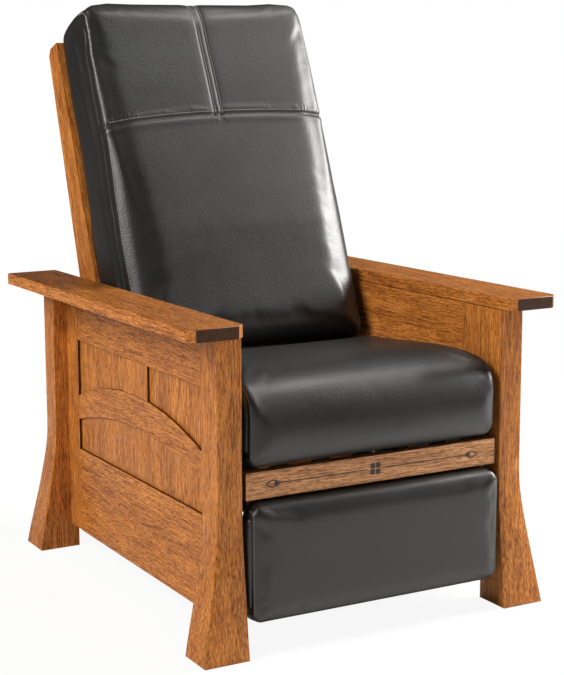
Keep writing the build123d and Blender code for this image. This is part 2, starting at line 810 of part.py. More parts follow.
pad_profile_shares = ((1.0, 0.985), (0.75, 1.0), (0.4, 0.992), (0.16, 0.965), (0.04, 0.91), (0.0, 0.78),
                      (0.0, 0.24), (0.04, 0.09), (0.16, 0.035), (0.4, 0.008), (0.75, 0.0), (1.0, 0.015))
pad_plan_shares = ((1.02, 1.0), (1.02, 0.7), (1.01, 0.45), (0.995, 0.25), (0.97, 0.11), (0.93, 0.04),
                   (0.8, -0.03), (0.5, -0.1), (0.0, -0.14))
pad_front_shares = ((0.5, -0.05), (0.8, -0.025), (0.9, 0.006), (0.955, 0.045), (0.988, 0.11), (1.0, 0.22),
                    (1.0, 0.78), (0.988, 0.89), (0.955, 0.955), (0.9, 0.994), (0.8, 1.025), (0.5, 1.05),
                    (0.0, 1.06))
with BuildPart() as footrest_pad:
    pad_deep, pad_high = board_front - pad_front, pad_top - pad_under
    pad_profile = [spot(pad_front + pad_deep * a, pad_under + pad_high * b) for a, b in pad_profile_shares]
    with BuildSketch(Plane.YZ):
        with BuildLine():
            Spline(*pad_profile)
            Line(pad_profile[-1], pad_profile[0])
        make_face()
    extrude(amount=arm_inner, both=True)
    pad_plan = [(pad_half * a, front_y + pad_front + pad_deep * b) for a, b in mirrored(pad_plan_shares)]
    with BuildSketch(Plane.XY.offset(pad_under)):
        with BuildLine():
            Spline(*pad_plan)
            Line(pad_plan[-1], pad_plan[0])
        make_face()
    extrude(amount=pad_high, mode=Mode.INTERSECT)
    pad_front_outline = [(pad_half * a, pad_under + pad_high * b) for a, b in mirrored(pad_front_shares)]
    with BuildSketch(Plane.XZ.offset(-front_y)):
        with BuildLine():
            Spline(*pad_front_outline, periodic=True)
        make_face()
    extrude(amount=-board_back, mode=Mode.INTERSECT)
parts["footrest_pad"] = sew(footrest_pad, side_bands(pad_half, arm_top), (0, seam_depth, 0))

# Back frame: posts, rails and slats, built in the leaning frame
with BuildPart() as back_screws:
    places = [lean(hinge_behind, up) for up in back_screw_ups]
    rods(places, screw_radius, back_plate_inner, post_inner + screw_length)
    rods(places, screw_head_radius, back_plate_inner - screw_head_thick, back_plate_inner)
parts["back_screws"] = back_screws


def back_rail(under, top, name):
    """A rail between the posts with a stub tenon at each end."""
    with BuildPart() as rail:
        with BuildSketch(back_front_plane):
            with Locations((0, (under + top) / 2)):
                Rectangle(2 * post_inner, top - under)
        extrude(amount=-back_rail_thick)
        with BuildSketch(back_front_plane.offset(-back_rail_shoulder / 2)):
            with Locations((0, (under + top) / 2)):
                Rectangle(2 * (post_inner + back_rail_tenon), top - under - 2 * back_rail_shoulder)
        extrude(amount=-(back_rail_thick - back_rail_shoulder))
    parts[name] = rail


back_rail(back_lower_rail_under, back_lower_rail_top, "back_lower_rail")
back_rail(back_top_rail_under, back_top_rail_top, "back_top_rail")

with BuildPart() as back_slats:
    with BuildSketch(back_front_plane.offset(-(back_rail_thick - slat_thick) / 2)):
        for index in range(slat_count):
            with Locations(((index - (slat_count - 1) / 2) * slat_spacing,
                            (back_lower_rail_top + back_top_rail_under) / 2)):
                Rectangle(slat_width, back_top_rail_under - back_lower_rail_top + 2 * slat_tenon)
    extrude(amount=-slat_thick)
parts["back_slats"] = back_slats
for name in ("back_lower_rail", "back_top_rail"):
    with BuildPart() as rail:
        add(parts[name].part)
        add(back_slats.part, mode=Mode.SUBTRACT)
    parts[name] = rail

for side_name, side in sides.items():
    with BuildPart() as back_post:
        with BuildSketch(back_side_plane.offset(side * post_inner)):
            with BuildLine():
                Polyline((0, 0), (0, post_length), (post_head_depth - post_chamfer, post_length),
                         (post_depth_at(post_length - post_chamfer), post_length - post_chamfer),
                         (post_foot_depth, 0), close=True)
            make_face()
        extrude(amount=side * (post_outer - post_inner))
        for neighbour in ("back_lower_rail", "back_top_rail", "back_screws"):
            add(parts[neighbour].part, mode=Mode.SUBTRACT)
    parts[f"back_post_{side_name}"] = back_post

with BuildPart() as back_brackets:
    for side in sides.values():
        with BuildSketch(back_side_plane.offset(side * back_plate_inner)):
            with BuildLine():
                Polyline((hinge_behind - back_plate_half, back_plate_half / 2),
                         (hinge_behind - back_plate_half, back_plate_top),
                         (hinge_behind + back_plate_half, back_plate_top),
                         (hinge_behind + back_plate_half, back_plate_half / 2), close=True)
            make_face()
        extrude(amount=side * plate_thick)
    rods([hinge_place], hinge_radius + pin_clearance, back_plate_inner, post_inner, mode=Mode.SUBTRACT)
    add(back_screws.part, mode=Mode.SUBTRACT)
parts["back_brackets"] = back_brackets

# Back cushion: crowned front panels, drawn-in sides, sewn channels
back_profile_shares = ((0.0, 0.012), (-0.1, 0.004), (-0.5, 0.0), (-1.0, 0.01), (-1.18, 0.04),
                       (-1.24, 0.1), (-1.24, 0.2), (-1.19, 0.36), (-1.11, 0.55), (-1.07, back_seam_share),
                       (-1.06, 0.69), (-1.02, 0.8), (-0.98, 0.92), (-0.95, 0.97), (-0.88, 0.992),
                       (-0.7, 1.002), (-0.4, 0.998), (-0.22, 0.985), (-0.09, 0.963), (-0.02, 0.935),
                       (0.0, 0.9))
back_section_shares = ((1.02, 0.0), (1.02, -0.4), (1.012, -0.85), (0.994, -0.97), (0.965, -1.06),
                       (0.92, -1.12), (0.8, -1.2), (0.4, -1.3), (0.0, -1.34))
back_front_shares = ((0.9, 0.0), (0.97, 0.015), (0.995, 0.08), (1.0, 0.25), (0.995, 0.45), (0.984, back_seam_share),
                     (0.992, 0.75), (0.99, 0.9), (0.98, 0.945), (0.95, 0.972), (0.88, 0.985),
                     (0.6, 1.01), (0.0, 1.03))


def back_point(share_behind, share_up):
    return (back_cushion_thick * share_behind, back_cushion_under + back_cushion_length * share_up)


with BuildPart() as back_cushion:
    back_profile = [back_point(a, b) for a, b in back_profile_shares]
    with BuildSketch(back_side_plane):
        with BuildLine():
            Spline(*back_profile)
            Line(back_profile[-1], back_profile[0])
        make_face()
    extrude(amount=arm_inner, both=True)
    back_section = [(back_half * a, back_cushion_thick * b) for a, b in mirrored(back_section_shares)]
    with BuildSketch(back_section_plane):
        with BuildLine():
            Spline(*back_section)
            Line(back_section[-1], back_section[0])
        make_face()
    extrude(amount=back_cushion_under + back_cushion_length * back_reach, mode=Mode.INTERSECT)
    back_front = [(back_half * a, back_point(0, b)[1]) for a, b in mirrored(back_front_shares)]
    with BuildSketch(back_front_plane):
        with BuildLine():
            Spline(*back_front)
            Line(back_front[-1], back_front[0])
        make_face()
    extrude(amount=back_cushion_thick * back_reach, mode=Mode.INTERSECT)
with BuildPart() as back_bands:
    cross_seam = back_point(0, back_seam_share)[1]
    head_seam = back_point(0, (back_seam_share + back_reach) / 2)[1]
    with BuildSketch(back_front_plane):
        with Locations((0, cross_seam)):
            Rectangle(2 * back_half, seam_width)
        with Locations((-strip_half, head_seam), (strip_half, head_seam)):
            Rectangle(seam_width, back_cushion_length * (back_reach - back_seam_share))
        with Locations(*[(side * (back_half - side_seam_inset), overall_depth / 2) for side in sides.values()]):
            Rectangle(seam_width, overall_depth)
    extrude(amount=back_cushion_thick * back_reach)
drawn = seam_depth * sqrt(2)
parts["back_cushion"] = sew(back_cushion, back_bands.part, (0, drawn * cos(radians(back_tilt - sew_slant)),
                                                            drawn * sin(radians(-back_tilt - sew_slant))))

for name, built in parts.items():
    built.part.label = name
    export_step(built.part, f"parts/{name}.step")
print(len(parts), "parts, overall depth", round(overall_depth, 2))
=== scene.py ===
"""A mission reclining armchair: stained oak, black leather cushions, hidden steel linkage."""
import math

import bpy
import numpy as np
from mathutils import Matrix, Vector
from mathutils.bvhtree import BVHTree
from mathutils.kdtree import KDTree


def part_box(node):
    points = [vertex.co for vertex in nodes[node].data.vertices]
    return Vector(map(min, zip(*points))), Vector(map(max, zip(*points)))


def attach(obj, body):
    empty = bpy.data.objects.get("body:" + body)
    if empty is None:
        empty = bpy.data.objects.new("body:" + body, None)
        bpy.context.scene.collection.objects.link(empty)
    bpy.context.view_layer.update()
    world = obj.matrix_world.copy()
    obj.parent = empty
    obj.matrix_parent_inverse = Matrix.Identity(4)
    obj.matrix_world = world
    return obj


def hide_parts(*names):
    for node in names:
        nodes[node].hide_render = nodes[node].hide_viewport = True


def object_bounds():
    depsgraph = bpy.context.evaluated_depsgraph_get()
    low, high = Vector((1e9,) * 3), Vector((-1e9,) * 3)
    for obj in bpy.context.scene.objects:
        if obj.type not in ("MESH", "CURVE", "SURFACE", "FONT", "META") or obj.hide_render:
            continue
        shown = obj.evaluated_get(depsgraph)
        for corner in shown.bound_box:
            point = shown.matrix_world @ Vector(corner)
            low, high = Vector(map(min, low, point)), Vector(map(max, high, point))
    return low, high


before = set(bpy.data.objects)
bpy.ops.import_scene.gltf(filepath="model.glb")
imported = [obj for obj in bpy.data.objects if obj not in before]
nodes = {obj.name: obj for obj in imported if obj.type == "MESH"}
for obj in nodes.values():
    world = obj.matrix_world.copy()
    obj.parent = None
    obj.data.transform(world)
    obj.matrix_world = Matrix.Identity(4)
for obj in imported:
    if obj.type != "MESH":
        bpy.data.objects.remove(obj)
cad_low, cad_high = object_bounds()
bpy.ops.object.select_all(action="DESELECT")
scene = bpy.context.scene

# The photographer's place: off the sitter's right hand, with the lens a little below the top of
# the back, looking slightly down. The picture was cropped off centre, so the lens is shifted.
picture_width, picture_height = 564, 675
focal_pixels, centre_u, centre_v = 1546.965, 190.19, 319.41
lens_place = Vector((-1.55728, -2.75947, 1.04567))
turn, tip, roll = 0.4668, -0.1601, -0.012
film_width = 36
looking = Vector((math.sin(turn) * math.cos(tip), math.cos(turn) * math.cos(tip), math.sin(tip)))
level = Vector((math.cos(turn), -math.sin(turn), 0))
above = level.cross(looking)
right = level * math.cos(roll) + above * math.sin(roll)
upward = above * math.cos(roll) - level * math.sin(roll)
bpy.ops.object.camera_add()
camera = bpy.context.object
facing = Matrix((right, upward, -looking)).transposed().to_4x4()
camera.matrix_world = Matrix.Translation(lens_place) @ facing
camera.data.sensor_fit = "HORIZONTAL"
camera.data.sensor_width = film_width
camera.data.lens = focal_pixels / picture_width * film_width
camera.data.shift_x = (picture_width / 2 - centre_u) / picture_width
camera.data.shift_y = (centre_v - picture_height / 2) / picture_width
camera.data.clip_end = 60
scene.camera = camera

# The studio: a pale floor that runs out to a white surround, and soft lamps. The white shows to
# the camera only, so it adds no light to the chair.
scene.view_settings.view_transform = "Standard"


def put(tree, kind, settings=None, **sockets):
    """Adds a shader node. Its sockets are given values or links, by the names on the node with _
    for a space, or by number as i0."""
    made = tree.nodes.new(kind)
    for key, value in (settings or {}).items():
        setattr(made, key, value)
    for key, value in sockets.items():
        socket = made.inputs[int(key[1:]) if key[1:].isdigit() else key.replace("_", " ")]
        if isinstance(value, bpy.types.NodeSocket):
            tree.links.new(value, socket)
        else:
            socket.default_value = value
    return made


def combine(tree, operation, first, second):
    return put(tree, "ShaderNodeMath", {"operation": operation}, i0=first, i1=second).outputs[0]


def white_to_the_eye(tree):
    """1 for the camera's own rays and those through clear things, 0 for all that light the chair."""
    rays = put(tree, "ShaderNodeLightPath").outputs
    return combine(tree, "MAXIMUM", rays["Is Camera Ray"], rays["Is Transmission Ray"])


def bare_material(name):
    """A new material and its node tree, left empty."""
    material = bpy.data.materials.new(name)
    material.use_nodes = True
    material.node_tree.nodes.clear()
    return material, material.node_tree


world = bpy.data.worlds.new("studio_surround")
world.use_nodes = True
scene.world = world
surround = world.node_tree
surround.nodes.clear()
soft_fill = put(surround, "ShaderNodeBackground", Color=(1.0, 0.97, 0.93, 1), Strength=0.11)
white = put(surround, "ShaderNodeBackground", Color=(1, 1, 1, 1), Strength=1.0)
blend = put(surround, "ShaderNodeMixShader", i0=white_to_the_eye(surround),
            i1=soft_fill.outputs[0], i2=white.outputs[0])
put(surround, "ShaderNodeOutputWorld", Surface=blend.outputs[0])

bpy.ops.mesh.primitive_plane_add(size=40, location=(0, 0, 0))
floor = bpy.context.object
floor.name = "studio_floor"
floor_paint, tree = bare_material("pale_floor")
matt = put(tree, "ShaderNodeBsdfDiffuse", Color=(0.9, 0.9, 0.89, 1))
glow = put(tree, "ShaderNodeEmission", Color=(1, 1, 1, 1), Strength=1.0)
place = put(tree, "ShaderNodeTexCoord")
distance = put(tree, "ShaderNodeVectorMath", {"operation": "LENGTH"}, i0=place.outputs["Object"])
whitening = put(tree, "ShaderNodeMapRange", {"clamp": True}, Value=distance.outputs["Value"],
                From_Min=0.8, From_Max=2.6, To_Min=0.92, To_Max=1.0)
share = combine(tree, "MULTIPLY", white_to_the_eye(tree), whitening.outputs[0])
blend = put(tree, "ShaderNodeMixShader", i0=share, i1=matt.outputs[0], i2=glow.outputs[0])
put(tree, "ShaderNodeOutputMaterial", Surface=blend.outputs[0])
floor.data.materials.append(floor_paint)


def lamp(name, place, aim_height, size, watts, tint):
    """A soft rectangular lamp at a place, aimed at a height above the middle of the floor."""
    bpy.ops.object.light_add(type="AREA", location=place)
    light = bpy.context.object
    light.name = name
    aim = Vector((0, 0, aim_height))
    light.rotation_euler = (aim - Vector(place)).to_track_quat("-Z", "Y").to_euler()
    light.data.shape = "RECTANGLE"
    light.data.size, light.data.size_y = size
    light.data.energy = watts
    light.data.color = tint


lamp("left_softbox", (-3.0, -0.4, 2.6), aim_height=0.5, size=(1.2, 1.8),
     watts=125, tint=(1.0, 0.98, 0.95))
lamp("right_softbox", (3.1, -0.6, 1.9), aim_height=0.7, size=(0.8, 1.6),
     watts=225, tint=(1.0, 0.98, 0.96))
lamp("upper_softbox", (1.2, -0.2, 3.0), aim_height=0.4, size=(1.2, 0.8),
     watts=32, tint=(1.0, 0.99, 0.98))

# The four legs: stained quartersawn oak, flared at the foot, rubbed and lacquered to a soft
# gloss. The grain runs along each board: fine streaks, dark open pores, and pale ray fleck.


def new_group(name, inputs, outputs):
    """An empty shader node group with sockets given as (name, kind), its input and its output."""
    group = bpy.data.node_groups.new(name, "ShaderNodeTree")
    for direction, sockets in (("INPUT", inputs), ("OUTPUT", outputs)):
        for label, kind in sockets:
            group.interface.new_socket(name=label, in_out=direction, socket_type="NodeSocket" + kind)
    return group, group.nodes.new("NodeGroupInput").outputs, group.nodes.new("NodeGroupOutput").inputs


def ramp(tree, value, low, high):
    """0 below low, 1 above high."""
    eased = put(tree, "ShaderNodeMapRange", {"clamp": True}, Value=value, From_Min=low, From_Max=high)
    return eased.outputs[0]


def weighted(tree, *parts, start=0.0):
    """The sum of a start and some values, each given with its weight."""
    for value, weight in parts:
        start = put(tree, "ShaderNodeMath", {"operation": "MULTIPLY_ADD"},
                    i0=value, i1=weight, i2=start).outputs[0]
    return start


def blend_colour(tree, mode, amount, first, second):
    mixed = put(tree, "ShaderNodeMix", {"data_type": "RGBA", "blend_type": mode},
                i0=amount, i6=first, i7=second)
    return mixed.outputs[2]


oak_group, given, result = new_group(
    "oak_figure",
    (("Along Z", "Vector"), ("Dark", "Color"), ("Light", "Color"), ("Pores", "Float"), ("Fleck", "Float")),
    (("Color", "Color"), ("Roughness", "Float"), ("Height", "Float")))


def grain_layer(line, drawn_out, scale, detail=2.0, **more):
    """A noise along the grain: the smaller drawn_out, the longer its streaks."""
    stretched = put(oak_group, "ShaderNodeVectorMath", {"operation": "MULTIPLY"},
                    i0=line, i1=(1, 1, drawn_out))
    return put(oak_group, "ShaderNodeTexNoise", Vector=stretched.outputs[0], Scale=scale,
               Detail=detail, **more).outputs


wander = grain_layer(given["Along Z"], 0.35, 7.0)["Color"]
shift = put(oak_group, "ShaderNodeVectorMath", {"operation": "SCALE"}, Vector=wander, Scale=0.02)
grain_line = put(oak_group, "ShaderNodeVectorMath", {"operation": "ADD"},
                 i0=given["Along Z"], i1=shift.outputs[0]).outputs[0]
broad = grain_layer(grain_line, 0.1, 34.0, 3.0)["Fac"]
streaks = grain_layer(grain_line, 0.04, 420.0, 3.0, Roughness=0.6)["Fac"]
pores = ramp(oak_group, grain_layer(grain_line, 0.1, 740.0, 1.0)["Fac"], 0.5, 0.62)
fleck_shape = grain_layer(grain_line, 0.3, 95.0, Distortion=0.8)["Fac"]
fleck_place = grain_layer(grain_line, 1, 14.0)["Fac"]
fleck = combine(oak_group, "MULTIPLY", ramp(oak_group, fleck_shape, 0.57, 0.64),
                ramp(oak_group, fleck_place, 0.42, 0.6))
tone = ramp(oak_group, weighted(oak_group, (broad, 0.4), (streaks, 1.3)), 0.6, 1.02)
body = blend_colour(oak_group, "MIX", tone, given["Dark"], given["Light"])
pore_amount = combine(oak_group, "MULTIPLY", pores, given["Pores"])
body = blend_colour(oak_group, "MULTIPLY", pore_amount, body, (0.45, 0.32, 0.25, 1))
fleck_amount = combine(oak_group, "MULTIPLY", fleck, given["Fleck"])
body = blend_colour(oak_group, "MIX", fleck_amount, body, (0.62, 0.25, 0.07, 1))
oak_group.links.new(body, result["Color"])
oak_group.links.new(weighted(oak_group, (streaks, 0.12), (pores, 0.14)), result["Roughness"])
oak_group.links.new(weighted(oak_group, (streaks, 0.5), (pores, -1.0)), result["Height"])

lean_angle = math.radians(20.4)
turned = {"upright": (0, 0, 0), "lengthwise": (math.pi / 2, 0, 0),
          "crosswise": (0, math.pi / 2, 0), "leaning": (lean_angle, 0, 0)}
brown_stain = ((0.66, 0.245, 0.046), (0.2, 0.052, 0.008))
glaze_in_pores, glaze_on_fleck, glaze_on_ends = 0.85, 0.3, 0.85
board_shift = (0.37, 0.23, 0.71)


def squareness(tree, normal, axis, low, high):
    """0 where a face runs along an axis, 1 where it is square across it."""
    parts = put(tree, "ShaderNodeSeparateXYZ", Vector=normal)
    return ramp(tree, combine(tree, "ABSOLUTE", parts.outputs[axis], 0.0), low, high)


def oak(name, grain, seed, stain=brown_stain, reveals=0.0):
    """A stained oak board. Grain is the way it runs, and seed moves the pattern from board to
    board. Stain is its light and dark colour. The last argument paints shade onto the faces that
    look along Y or Z, which show a board's thickness in the panel openings, darker by its amount."""
    material, tree = bare_material(name)
    light, dark = stain
    place = put(tree, "ShaderNodeTexCoord").outputs
    along = put(tree, "ShaderNodeMapping", Vector=place["Object"], Rotation=turned[grain],
                Location=[seed * step for step in board_shift])
    figure = put(tree, "ShaderNodeGroup", {"node_tree": oak_group}, Along_Z=along.outputs[0],
                 Dark=(*dark, 1), Light=(*light, 1), Pores=glaze_in_pores, Fleck=glaze_on_fleck)
    facing = put(tree, "ShaderNodeMapping", {"vector_type": "NORMAL"}, Vector=place["Normal"],
                 Rotation=turned[grain])
    end_grain = squareness(tree, facing.outputs[0], "Z", low=0.75, high=0.95)
    colour = blend_colour(tree, "MULTIPLY", combine(tree, "MULTIPLY", end_grain, glaze_on_ends),
                          figure.outputs["Color"], (0.05, 0.04, 0.035, 1))
    # Painted shade: the faces that look along Y or Z are darkened towards a dark brown by the given
    # amount.
    shaded_faces = combine(tree, "SUBTRACT", 1.0, squareness(tree, place["Normal"], "X", low=0.3, high=0.7))
    colour = blend_colour(tree, "MULTIPLY", combine(tree, "MULTIPLY", shaded_faces, reveals),
                          colour, (0.1, 0.07, 0.05, 1))
    gloss = combine(tree, "ADD", figure.outputs["Roughness"], 0.34)
    relief = put(tree, "ShaderNodeBump", Height=figure.outputs["Height"], Distance=0.0004, Strength=0.5)
    skin = put(tree, "ShaderNodeBsdfPrincipled", Base_Color=colour, Roughness=gloss,
               Normal=relief.outputs[0], Specular_IOR_Level=0.2, Coat_Weight=0.04, Coat_Roughness=0.2)
    put(tree, "ShaderNodeOutputMaterial", Surface=skin.outputs[0])
    return material


def finish_node(name, material, edge=0.0012):
    """Gives a CAD piece its finish, and eases its edges as a maker sands them."""
    piece = nodes[name]
    piece.data.materials.clear()
    piece.data.materials.append(material)
    if edge:
        weld = piece.modifiers.new("joined_faces", "WELD")
        weld.merge_threshold = 0.00005
        bevel = piece.modifiers.new("eased_edges", "BEVEL")
        bevel.width = edge
        bevel.segments = 2
        bevel.limit_method = "ANGLE"
        bevel.angle_limit = math.radians(40)
        bevel.use_clamp_overlap = True


def finish_boards(names, grain, seed, **look):
    """Gives each board its own length of oak, with the seeds counted on from the first."""
    for step, name in enumerate(names):
        finish_node(name, oak(f"oak_{name}", grain, seed + step, **look))


def both(name):
    return [f"{name}_left", f"{name}_right"]


finish_boards(both("front_leg") + both("rear_leg"), "upright", seed=1)

# The arm boards: broad flat oak boards with clipped front corners, mortised on their undersides
# for the tenons of the legs. Their tops and ends carry painted shade, darker than their sides.
finish_boards(both("arm"), "lengthwise", seed=5, reveals=0.4)

# The side frames: three rails, the middle one arched, tenoned into two stiles, with a mullion.
# The thin panels sit back in grooves, and the frame's edges round their openings carry painted shade.
rails = both("side_top_rail") + both("side_bottom_rail") + both("side_arch_rail")
stiles = both("side_front_stile") + both("side_rear_stile") + both("side_mullion")
finish_boards(rails, "lengthwise", seed=7, reveals=0.95)
finish_boards(stiles, "upright", seed=13, reveals=0.95)
finish_boards(both("side_panels"), "upright", seed=19)

# The back frame: two leaning oak posts with a rail at the top and the bottom, and slats between
# them that carry the back cushion.
finish_boards(both("back_post"), "leaning", seed=21)
finish_boards(["back_lower_rail", "back_top_rail"], "crosswise", seed=32)
finish_boards(["back_slats"], "leaning", seed=34)

# The seat frame's side and rear rails, and the two cross rails low between the sides: plain oak
# boards that the cushions and the sides hide.
finish_boards(both("seat_side_rail"), "lengthwise", seed=23)
finish_boards(["seat_rear_rail", "front_cross_rail", "rear_cross_rail"], "crosswise", seed=35)

# The front rail of the seat: oak rubbed paler than the rest. Its ebonised inlay, four squares and
# a line to each side that ends in a bud, is let in flush and lacquered over.


def plain_finish(name, colour, roughness, metallic=0.0):
    """A hard finish with a slight mottle and a fine texture."""
    material, tree = bare_material(name)
    place = put(tree, "ShaderNodeTexCoord")
    mottle = put(tree, "ShaderNodeTexNoise", Vector=place.outputs["Object"], Scale=400.0, Detail=3.0)
    amount = ramp(tree, mottle.outputs["Fac"], 0.35, 0.65)
    darker = [0.7 * part for part in colour]
    spread = combine(tree, "MULTIPLY", amount, 0.48)
    mottled = blend_colour(tree, "MIX", spread, (*colour, 1), (*darker, 1))
    relief = put(tree, "ShaderNodeBump", Height=mottle.outputs["Fac"], Distance=0.0001, Strength=0.3)
    skin = put(tree, "ShaderNodeBsdfPrincipled", Base_Color=mottled, Metallic=metallic,
               Roughness=weighted(tree, (amount, 0.1), start=roughness), Normal=relief.outputs[0])
    put(tree, "ShaderNodeOutputMaterial", Surface=skin.outputs[0])
    return material


rubbed_stain = ((0.8, 0.41, 0.18), (0.28, 0.1, 0.035))
finish_boards(["front_rail"], "crosswise", seed=31, stain=rubbed_stain)
ebonised = plain_finish("ebonised_inlay", (0.012, 0.008, 0.006), roughness=0.4)
finish_node("front_rail_inlay", ebonised, edge=0)

# The footrest board: a wide oak board, left unstained because the pad covers its front. The
# steel footrest brackets are screwed to its back.
unstained = ((0.5, 0.33, 0.17), (0.3, 0.16, 0.07))
finish_boards(["footrest_board"], "crosswise", seed=38, stain=unstained)

# The mechanism: links, plates, brackets, a cross tube and tracks of steel, painted black. They
# carry the seat unit, tip the back and swing the footrest out.
black_steel = plain_finish("black_painted_steel", (0.03, 0.03, 0.032), roughness=0.38)
for name in ("seat_plates", "swing_links", "guide_links", "long_links", "lift_links",
             "footrest_brackets", "back_brackets", "cross_tube", "seat_tracks"):
    finish_node(name, black_steel, edge=0.0004)

# The fixings: zinc plated screws that hold the steel to the oak, rivets and pins at the pivots,
# and the clips that hold the ends of the seat springs.
zinc = plain_finish("zinc_plate", (0.6, 0.6, 0.58), roughness=0.32, metallic=1.0)
for name in ("track_screws", "plate_screws", "back_screws", "footrest_screws", "seat_rivets",
             "swing_rivets", "guide_rivets", "long_rivets", "tilt_rivets", "glide_axles",
             "back_hinge_pins", "spring_clips"):
    finish_node(name, zinc, edge=0)

# The seat springs are sinuous bows of oiled spring wire. The glide shoes are natural nylon, and
# slide in the steel tracks on their axle pins.
spring_wire = plain_finish("oiled_spring_wire", (0.12, 0.12, 0.125), roughness=0.35, metallic=1.0)
finish_node("seat_springs", spring_wire, edge=0)
nylon = plain_finish("natural_nylon", (0.8, 0.79, 0.72), roughness=0.45)
finish_node("glide_shoes", nylon, edge=0.0005)

# The seat cushion: a box of foam with a rolled front in smooth near-black leather. One panel runs
# over front and top, and a D-shaped side panel is sewn in at each end with a topstitched seam.
hide_group, given, result = new_group(
    "hide_grain",
    (("Vector", "Vector"), ("Fresh", "Color"), ("Worn", "Color")),
    (("Color", "Color"), ("Roughness", "Float"), ("Height", "Float")))
pebble = put(hide_group, "ShaderNodeTexVoronoi", Vector=given["Vector"], Scale=340.0).outputs["Distance"]
pores, creases, patches = [
    put(hide_group, "ShaderNodeTexNoise", Vector=given["Vector"], **look).outputs["Fac"]
    for look in ({"Scale": 620.0, "Detail": 2.0},
                 {"Scale": 34.0, "Detail": 5.0, "Roughness": 0.62, "Distortion": 0.6},
                 {"Scale": 6.0, "Detail": 3.0})]
wear = ramp(hide_group, patches, 0.35, 0.7)
colour = blend_colour(hide_group, "MIX", wear, given["Fresh"], given["Worn"])
hide_group.links.new(colour, result["Color"])
hide_group.links.new(weighted(hide_group, (patches, 0.12), (creases, 0.1)), result["Roughness"])
hide_group.links.new(weighted(hide_group, (pebble, 0.35), (pores, 0.2), (creases, 0.4)), result["Height"])

leather, tree = bare_material("black_leather")
place = put(tree, "ShaderNodeTexCoord")
hide = put(tree, "ShaderNodeGroup", {"node_tree": hide_group}, Vector=place.outputs["Object"],
           Fresh=(0.009, 0.009, 0.008, 1), Worn=(0.0125, 0.0125, 0.0111, 1))
relief = put(tree, "ShaderNodeBump", Height=hide.outputs["Height"], Distance=0.0009, Strength=0.75)
skin = put(tree, "ShaderNodeBsdfPrincipled", Base_Color=hide.outputs["Color"],
           Roughness=combine(tree, "ADD", hide.outputs["Roughness"], 0.3), Normal=relief.outputs[0])
put(tree, "ShaderNodeOutputMaterial", Surface=skin.outputs[0])
grey_thread = plain_finish("grey_thread", (0.2, 0.2, 0.185), roughness=0.7)


def points_of(piece):
    """Vertex places and outward normals as arrays."""
    count = len(piece.data.vertices)
    co, normal = np.empty(count * 3), np.empty(count * 3)
    piece.data.vertices.foreach_get("co", co)
    piece.data.vertices.foreach_get("normal", normal)
    return co.reshape(-1, 3), normal.reshape(-1, 3)


def move_points(piece, co):
    piece.data.vertices.foreach_set("co", co.ravel())
    piece.data.update()


def group_points(piece, name, chosen):
    group = piece.vertex_groups.new(name=name)
    group.add([int(index) for index in np.nonzero(chosen)[0]], 1.0, "REPLACE")


def apply_modifier(piece, kind, **settings):
    modifier = piece.modifiers.new(kind.lower(), kind)
    for key, value in settings.items():
        setattr(modifier, key, value)
    bpy.ops.object.modifier_apply(modifier=modifier.name)


def inflate(piece, start, cap, held):
    """Lets a cover swell as cloth under pressure, by cap at most, and holds it where it rests."""
    group_points(piece, "held", held(start))
    cloth = piece.modifiers.new("inflate", "CLOTH")
    cloth.settings.quality = 5
    cloth.settings.use_pressure = True
    cloth.settings.uniform_pressure_force = 4
    cloth.settings.tension_stiffness = 15
    cloth.settings.compression_stiffness = 15
    cloth.settings.bending_stiffness = 2.0
    cloth.settings.effector_weights.gravity = 0
    cloth.settings.vertex_group_mass = "held"
    first, last = 1, 20
    cloth.point_cache.frame_start, cloth.point_cache.frame_end = first, last
    for moment in range(first, last + 1):
        scene.frame_set(moment)
    bpy.ops.object.modifier_apply(modifier="inflate")
    scene.frame_set(first)
    moved = points_of(piece)[0] - start
    length = np.linalg.norm(moved, axis=1, keepdims=True)
    moved *= np.minimum(1, cap / np.maximum(length, 1e-9))
    move_points(piece, start + moved)


def plump(source, voxel, shrink, cap, held, channels):
    """A cushion's cover from its CAD block: remeshed, with its channels filled, then inflated."""
    piece = nodes[source].copy()
    piece.data = nodes[source].data.copy()
    piece.name = piece.data.name = f"{source}_cover"
    bpy.context.collection.objects.link(piece)
    piece.parent = None
    piece.matrix_world = Matrix.Identity(4)
    bpy.ops.object.select_all(action="DESELECT")
    piece.select_set(True)
    bpy.context.view_layer.objects.active = piece
    bpy.ops.object.mode_set(mode="EDIT")
    bpy.ops.mesh.select_all(action="SELECT")
    bpy.ops.mesh.remove_doubles(threshold=0.0002)
    bpy.ops.mesh.normals_make_consistent(inside=False)
    bpy.ops.object.mode_set(mode="OBJECT")
    piece.data.remesh_voxel_size = voxel
    bpy.ops.object.voxel_remesh()
    apply_modifier(piece, "SMOOTH", factor=0.5, iterations=8)
    group_points(piece, "channels", channels(points_of(piece)[0]))
    apply_modifier(piece, "SMOOTH", factor=0.5, iterations=24, vertex_group="channels")
    piece.vertex_groups.clear()
    start, outward = points_of(piece)
    start = start - outward * shrink
    move_points(piece, start)
    inflate(piece, start, cap, held)
    apply_modifier(piece, "SMOOTH", factor=0.5, iterations=4)
    apply_modifier(piece, "SUBSURF", levels=1, render_levels=1)
    bpy.ops.object.shade_smooth()
    piece.data.materials.clear()
    piece.data.materials.append(leather)
    return piece


def cover_of(piece):
    return BVHTree.FromPolygons([v.co for v in piece.data.vertices],
                                [tuple(p.vertices) for p in piece.data.polygons])


def strike(surface, run):
    """Where a run of (start, direction) rays meets the cover: places and outward normals."""
    found = [surface.ray_cast(start, direction)[:2] for start, direction in run]
    return [(spot, normal) for spot, normal in found if spot is not None]


